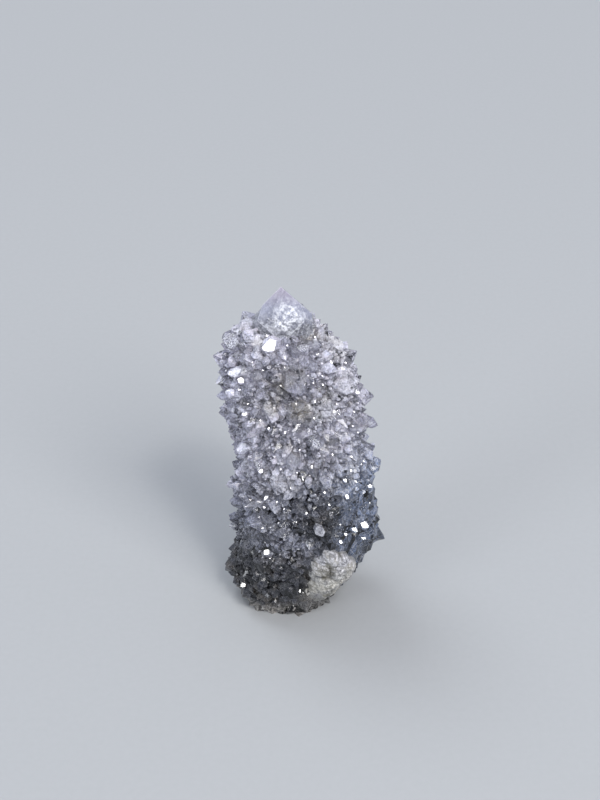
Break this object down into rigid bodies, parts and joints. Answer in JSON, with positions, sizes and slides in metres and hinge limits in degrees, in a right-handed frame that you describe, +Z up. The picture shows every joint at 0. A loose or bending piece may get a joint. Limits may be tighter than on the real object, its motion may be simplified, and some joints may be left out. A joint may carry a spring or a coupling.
{
  "type": "spirit quartz cluster",
  "caption": "Tall quartz crystal coated with small quartz points, with a bare pointed tip and a flat broken base it stands on.",
  "frame": {"origin": "on the ground, under the middle of the cluster's outer box", "axes": "+Z up along the main crystal to its tip, -Y towards the viewer of the picture, +X to that viewer's right"},
  "size_m": [0.0308, 0.0245, 0.066],
  "materials": {
    "quartz": "glassy crystal faces, clear to milky lavender grey above and smoky blue-black towards the foot"
  },
  "bodies": {
    "root": {"quartz_cluster": "quartz"}
  },
  "joints": []
}
